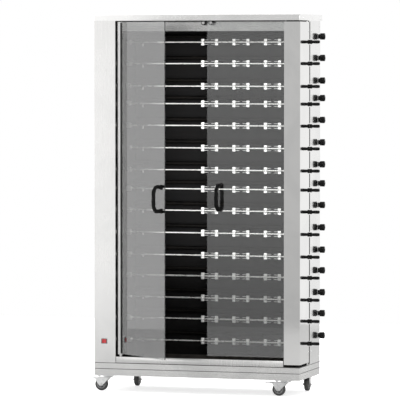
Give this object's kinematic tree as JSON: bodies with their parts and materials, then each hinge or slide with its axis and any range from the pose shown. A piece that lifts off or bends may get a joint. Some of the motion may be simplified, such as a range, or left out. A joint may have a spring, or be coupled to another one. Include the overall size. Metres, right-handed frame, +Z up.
{
  "type": "vertical gas rotisserie oven",
  "caption": "Tall stainless gas rotisserie cabinet on casters with stacked horizontal spits, two swinging glass doors, a gas tap beside each spit and a pull-out drip tray.",
  "frame": {"origin": "On the floor, under the middle of the cabinet's footprint.", "axes": "+X to the user's right, towards the gas taps; +Y to the back; +Z up. The doors face -Y."},
  "size_m": [1.238, 0.7928, 2],
  "materials": {
    "stainless_panel": "brushed",
    "dark_liner": "satin",
    "plated_steel": "satin",
    "spit_steel": "polished",
    "heated_steel": "heat darkened",
    "painted_drive": "satin",
    "black_plastic": "satin",
    "red_plastic": "gloss",
    "tinted_glass": "polished",
    "grey_rubber": "matt"
  },
  "bodies": {
    "cabinet": {"base_plinth": "stainless_panel", "base_deck": "stainless_panel", "drive_housing_cover": "stainless_panel", "drive_chain": "plated_steel", "gear_motor": "painted_drive", "switch_bezel": "black_plastic", "chamber_walls": "dark_liner", "right_side_panel": "stainless_panel", "back_panel": "stainless_panel", "roof_cap": "stainless_panel", "chamber_top": "stainless_panel", "burner_tubes": "heated_steel", "gas_manifold": "plated_steel", "caster_mounts": "plated_steel"},
    "spit_01": {"spit_01": "spit_steel"},
    "spit_02": {"spit_02": "spit_steel"},
    "spit_03": {"spit_03": "spit_steel"},
    "spit_04": {"spit_04": "spit_steel"},
    "spit_05": {"spit_05": "spit_steel"},
    "spit_06": {"spit_06": "spit_steel"},
    "spit_07": {"spit_07": "spit_steel"},
    "spit_08": {"spit_08": "spit_steel"},
    "spit_09": {"spit_09": "spit_steel"},
    "spit_10": {"spit_10": "spit_steel"},
    "spit_11": {"spit_11": "spit_steel"},
    "spit_12": {"spit_12": "spit_steel"},
    "spit_13": {"spit_13": "spit_steel"},
    "spit_14": {"spit_14": "spit_steel"},
    "spit_15": {"spit_15": "spit_steel"},
    "gas_knob_01": {"gas_knob_01": "black_plastic"},
    "gas_knob_02": {"gas_knob_02": "black_plastic"},
    "gas_knob_03": {"gas_knob_03": "black_plastic"},
    "gas_knob_04": {"gas_knob_04": "black_plastic"},
    "gas_knob_05": {"gas_knob_05": "black_plastic"},
    "gas_knob_06": {"gas_knob_06": "black_plastic"},
    "gas_knob_07": {"gas_knob_07": "black_plastic"},
    "gas_knob_08": {"gas_knob_08": "black_plastic"},
    "gas_knob_09": {"gas_knob_09": "black_plastic"},
    "gas_knob_10": {"gas_knob_10": "black_plastic"},
    "gas_knob_11": {"gas_knob_11": "black_plastic"},
    "gas_knob_12": {"gas_knob_12": "black_plastic"},
    "gas_knob_13": {"gas_knob_13": "black_plastic"},
    "gas_knob_14": {"gas_knob_14": "black_plastic"},
    "gas_knob_15": {"gas_knob_15": "black_plastic"},
    "front_left_caster": {"front_left_caster_fork": "plated_steel"},
    "front_left_wheel": {"front_left_wheel": "grey_rubber"},
    "front_left_brake": {"front_left_brake_pedal": "plated_steel"},
    "front_right_caster": {"front_right_caster_fork": "plated_steel"},
    "front_right_wheel": {"front_right_wheel": "grey_rubber"},
    "front_right_brake": {"front_right_brake_pedal": "plated_steel"},
    "rear_left_wheel": {"rear_left_wheel": "grey_rubber"},
    "rear_right_wheel": {"rear_right_wheel": "grey_rubber"},
    "left_door": {"left_door_post": "stainless_panel", "left_door_glass": "tinted_glass", "left_door_handle": "black_plastic"},
    "right_door": {"right_door_column": "stainless_panel", "right_door_glass": "tinted_glass", "right_door_handle": "black_plastic"},
    "power_switch": {"switch_rocker": "red_plastic"},
    "drip_tray": {"drip_tray": "stainless_panel"}
  },
  "joints": [
    {"name": "spit_01_turn", "type": "hinge", "parent": "cabinet", "child": "spit_01", "pos_m": [0, -0.01, 0.266], "axis": [1, 0, 0], "continuous": true},
    {"name": "spit_02_turn", "type": "hinge", "parent": "cabinet", "child": "spit_02", "pos_m": [0, -0.01, 0.384], "axis": [1, 0, 0], "continuous": true},
    {"name": "spit_03_turn", "type": "hinge", "parent": "cabinet", "child": "spit_03", "pos_m": [0, -0.01, 0.496], "axis": [1, 0, 0], "continuous": true},
    {"name": "spit_04_turn", "type": "hinge", "parent": "cabinet", "child": "spit_04", "pos_m": [0, -0.01, 0.613], "axis": [1, 0, 0], "continuous": true},
    {"name": "spit_05_turn", "type": "hinge", "parent": "cabinet", "child": "spit_05", "pos_m": [0, -0.01, 0.723], "axis": [1, 0, 0], "continuous": true},
    {"name": "spit_06_turn", "type": "hinge", "parent": "cabinet", "child": "spit_06", "pos_m": [0, -0.01, 0.842], "axis": [1, 0, 0], "continuous": true},
    {"name": "spit_07_turn", "type": "hinge", "parent": "cabinet", "child": "spit_07", "pos_m": [0, -0.01, 0.961], "axis": [1, 0, 0], "continuous": true},
    {"name": "spit_08_turn", "type": "hinge", "parent": "cabinet", "child": "spit_08", "pos_m": [0, -0.01, 1.076], "axis": [1, 0, 0], "continuous": true},
    {"name": "spit_09_turn", "type": "hinge", "parent": "cabinet", "child": "spit_09", "pos_m": [0, -0.01, 1.177], "axis": [1, 0, 0], "continuous": true},
    {"name": "spit_10_turn", "type": "hinge", "parent": "cabinet", "child": "spit_10", "pos_m": [0, -0.01, 1.294], "axis": [1, 0, 0], "continuous": true},
    {"name": "spit_11_turn", "type": "hinge", "parent": "cabinet", "child": "spit_11", "pos_m": [0, -0.01, 1.413], "axis": [1, 0, 0], "continuous": true},
    {"name": "spit_12_turn", "type": "hinge", "parent": "cabinet", "child": "spit_12", "pos_m": [0, -0.01, 1.529], "axis": [1, 0, 0], "continuous": true},
    {"name": "spit_13_turn", "type": "hinge", "parent": "cabinet", "child": "spit_13", "pos_m": [0, -0.01, 1.622], "axis": [1, 0, 0], "continuous": true},
    {"name": "spit_14_turn", "type": "hinge", "parent": "cabinet", "child": "spit_14", "pos_m": [0, -0.01, 1.742], "axis": [1, 0, 0], "continuous": true},
    {"name": "spit_15_turn", "type": "hinge", "parent": "cabinet", "child": "spit_15", "pos_m": [0, -0.01, 1.856], "axis": [1, 0, 0], "continuous": true},
    {"name": "gas_knob_01_turn", "type": "hinge", "parent": "cabinet", "child": "gas_knob_01", "pos_m": [0.565, 0.175, 0.296], "axis": [1, 0, 0], "range_deg": [0, 180]},
    {"name": "gas_knob_02_turn", "type": "hinge", "parent": "cabinet", "child": "gas_knob_02", "pos_m": [0.565, 0.175, 0.414], "axis": [1, 0, 0], "range_deg": [0, 180]},
    {"name": "gas_knob_03_turn", "type": "hinge", "parent": "cabinet", "child": "gas_knob_03", "pos_m": [0.565, 0.175, 0.526], "axis": [1, 0, 0], "range_deg": [0, 180]},
    {"name": "gas_knob_04_turn", "type": "hinge", "parent": "cabinet", "child": "gas_knob_04", "pos_m": [0.565, 0.175, 0.643], "axis": [1, 0, 0], "range_deg": [0, 180]},
    {"name": "gas_knob_05_turn", "type": "hinge", "parent": "cabinet", "child": "gas_knob_05", "pos_m": [0.565, 0.175, 0.753], "axis": [1, 0, 0], "range_deg": [0, 180]},
    {"name": "gas_knob_06_turn", "type": "hinge", "parent": "cabinet", "child": "gas_knob_06", "pos_m": [0.565, 0.175, 0.872], "axis": [1, 0, 0], "range_deg": [0, 180]},
    {"name": "gas_knob_07_turn", "type": "hinge", "parent": "cabinet", "child": "gas_knob_07", "pos_m": [0.565, 0.175, 0.991], "axis": [1, 0, 0], "range_deg": [0, 180]},
    {"name": "gas_knob_08_turn", "type": "hinge", "parent": "cabinet", "child": "gas_knob_08", "pos_m": [0.565, 0.175, 1.106], "axis": [1, 0, 0], "range_deg": [0, 180]},
    {"name": "gas_knob_09_turn", "type": "hinge", "parent": "cabinet", "child": "gas_knob_09", "pos_m": [0.565, 0.175, 1.207], "axis": [1, 0, 0], "range_deg": [0, 180]},
    {"name": "gas_knob_10_turn", "type": "hinge", "parent": "cabinet", "child": "gas_knob_10", "pos_m": [0.565, 0.175, 1.324], "axis": [1, 0, 0], "range_deg": [0, 180]},
    {"name": "gas_knob_11_turn", "type": "hinge", "parent": "cabinet", "child": "gas_knob_11", "pos_m": [0.565, 0.175, 1.443], "axis": [1, 0, 0], "range_deg": [0, 180]},
    {"name": "gas_knob_12_turn", "type": "hinge", "parent": "cabinet", "child": "gas_knob_12", "pos_m": [0.565, 0.175, 1.559], "axis": [1, 0, 0], "range_deg": [0, 180]},
    {"name": "gas_knob_13_turn", "type": "hinge", "parent": "cabinet", "child": "gas_knob_13", "pos_m": [0.565, 0.175, 1.652], "axis": [1, 0, 0], "range_deg": [0, 180]},
    {"name": "gas_knob_14_turn", "type": "hinge", "parent": "cabinet", "child": "gas_knob_14", "pos_m": [0.565, 0.175, 1.772], "axis": [1, 0, 0], "range_deg": [0, 180]},
    {"name": "gas_knob_15_turn", "type": "hinge", "parent": "cabinet", "child": "gas_knob_15", "pos_m": [0.565, 0.175, 1.886], "axis": [1, 0, 0], "range_deg": [0, 180]},
    {"name": "front_left_caster_swivel", "type": "hinge", "parent": "cabinet", "child": "front_left_caster", "pos_m": [-0.511, -0.15, 0.078], "axis": [0, 0, 1], "continuous": true},
    {"name": "front_left_wheel_spin", "type": "hinge", "parent": "front_left_caster", "child": "front_left_wheel", "pos_m": [-0.543, -0.15, 0.035], "axis": [0, 1, 0], "continuous": true},
    {"name": "front_left_brake_press", "type": "hinge", "parent": "front_left_caster", "child": "front_left_brake", "pos_m": [-0.569, -0.15, 0.066], "axis": [0, -1, 0], "range_deg": [0, 12]},
    {"name": "front_right_caster_swivel", "type": "hinge", "parent": "cabinet", "child": "front_right_caster", "pos_m": [0.471, -0.15, 0.078], "axis": [0, 0, 1], "continuous": true},
    {"name": "front_right_wheel_spin", "type": "hinge", "parent": "front_right_caster", "child": "front_right_wheel", "pos_m": [0.439, -0.15, 0.035], "axis": [0, 1, 0], "continuous": true},
    {"name": "front_right_brake_press", "type": "hinge", "parent": "front_right_caster", "child": "front_right_brake", "pos_m": [0.413, -0.15, 0.066], "axis": [0, -1, 0], "range_deg": [0, 12]},
    {"name": "rear_left_wheel_spin", "type": "hinge", "parent": "cabinet", "child": "rear_left_wheel", "pos_m": [-0.44, 0.15, 0.035], "axis": [1, 0, 0], "continuous": true},
    {"name": "rear_right_wheel_spin", "type": "hinge", "parent": "cabinet", "child": "rear_right_wheel", "pos_m": [0.512, 0.15, 0.035], "axis": [1, 0, 0], "continuous": true},
    {"name": "left_door_swing", "type": "hinge", "parent": "cabinet", "child": "left_door", "pos_m": [-0.423, -0.186, 1.08], "axis": [0, 0, -1], "range_deg": [-42, 58]},
    {"name": "right_door_swing", "type": "hinge", "parent": "cabinet", "child": "right_door", "pos_m": [0.56, -0.034, 1.065], "axis": [0, 0, 1], "range_deg": [0, 90]},
    {"name": "power_switch_press", "type": "hinge", "parent": "cabinet", "child": "power_switch", "pos_m": [-0.51, -0.203, 0.269], "axis": [0, 0, -1], "range_deg": [0, 16]},
    {"name": "drip_tray_slide", "type": "slide", "parent": "cabinet", "child": "drip_tray", "axis": [0, -1, 0], "range_m": [0, 0.34]}
  ],
  "couplings": [
    {"joint": "spit_02_turn", "follows": "spit_01_turn", "ratio": 1},
    {"joint": "spit_03_turn", "follows": "spit_01_turn", "ratio": 1},
    {"joint": "spit_04_turn", "follows": "spit_01_turn", "ratio": 1},
    {"joint": "spit_05_turn", "follows": "spit_01_turn", "ratio": 1},
    {"joint": "spit_06_turn", "follows": "spit_01_turn", "ratio": 1},
    {"joint": "spit_07_turn", "follows": "spit_01_turn", "ratio": 1},
    {"joint": "spit_08_turn", "follows": "spit_01_turn", "ratio": 1},
    {"joint": "spit_09_turn", "follows": "spit_01_turn", "ratio": 1},
    {"joint": "spit_10_turn", "follows": "spit_01_turn", "ratio": 1},
    {"joint": "spit_11_turn", "follows": "spit_01_turn", "ratio": 1},
    {"joint": "spit_12_turn", "follows": "spit_01_turn", "ratio": 1},
    {"joint": "spit_13_turn", "follows": "spit_01_turn", "ratio": 1},
    {"joint": "spit_14_turn", "follows": "spit_01_turn", "ratio": 1},
    {"joint": "spit_15_turn", "follows": "spit_01_turn", "ratio": 1}
  ]
}
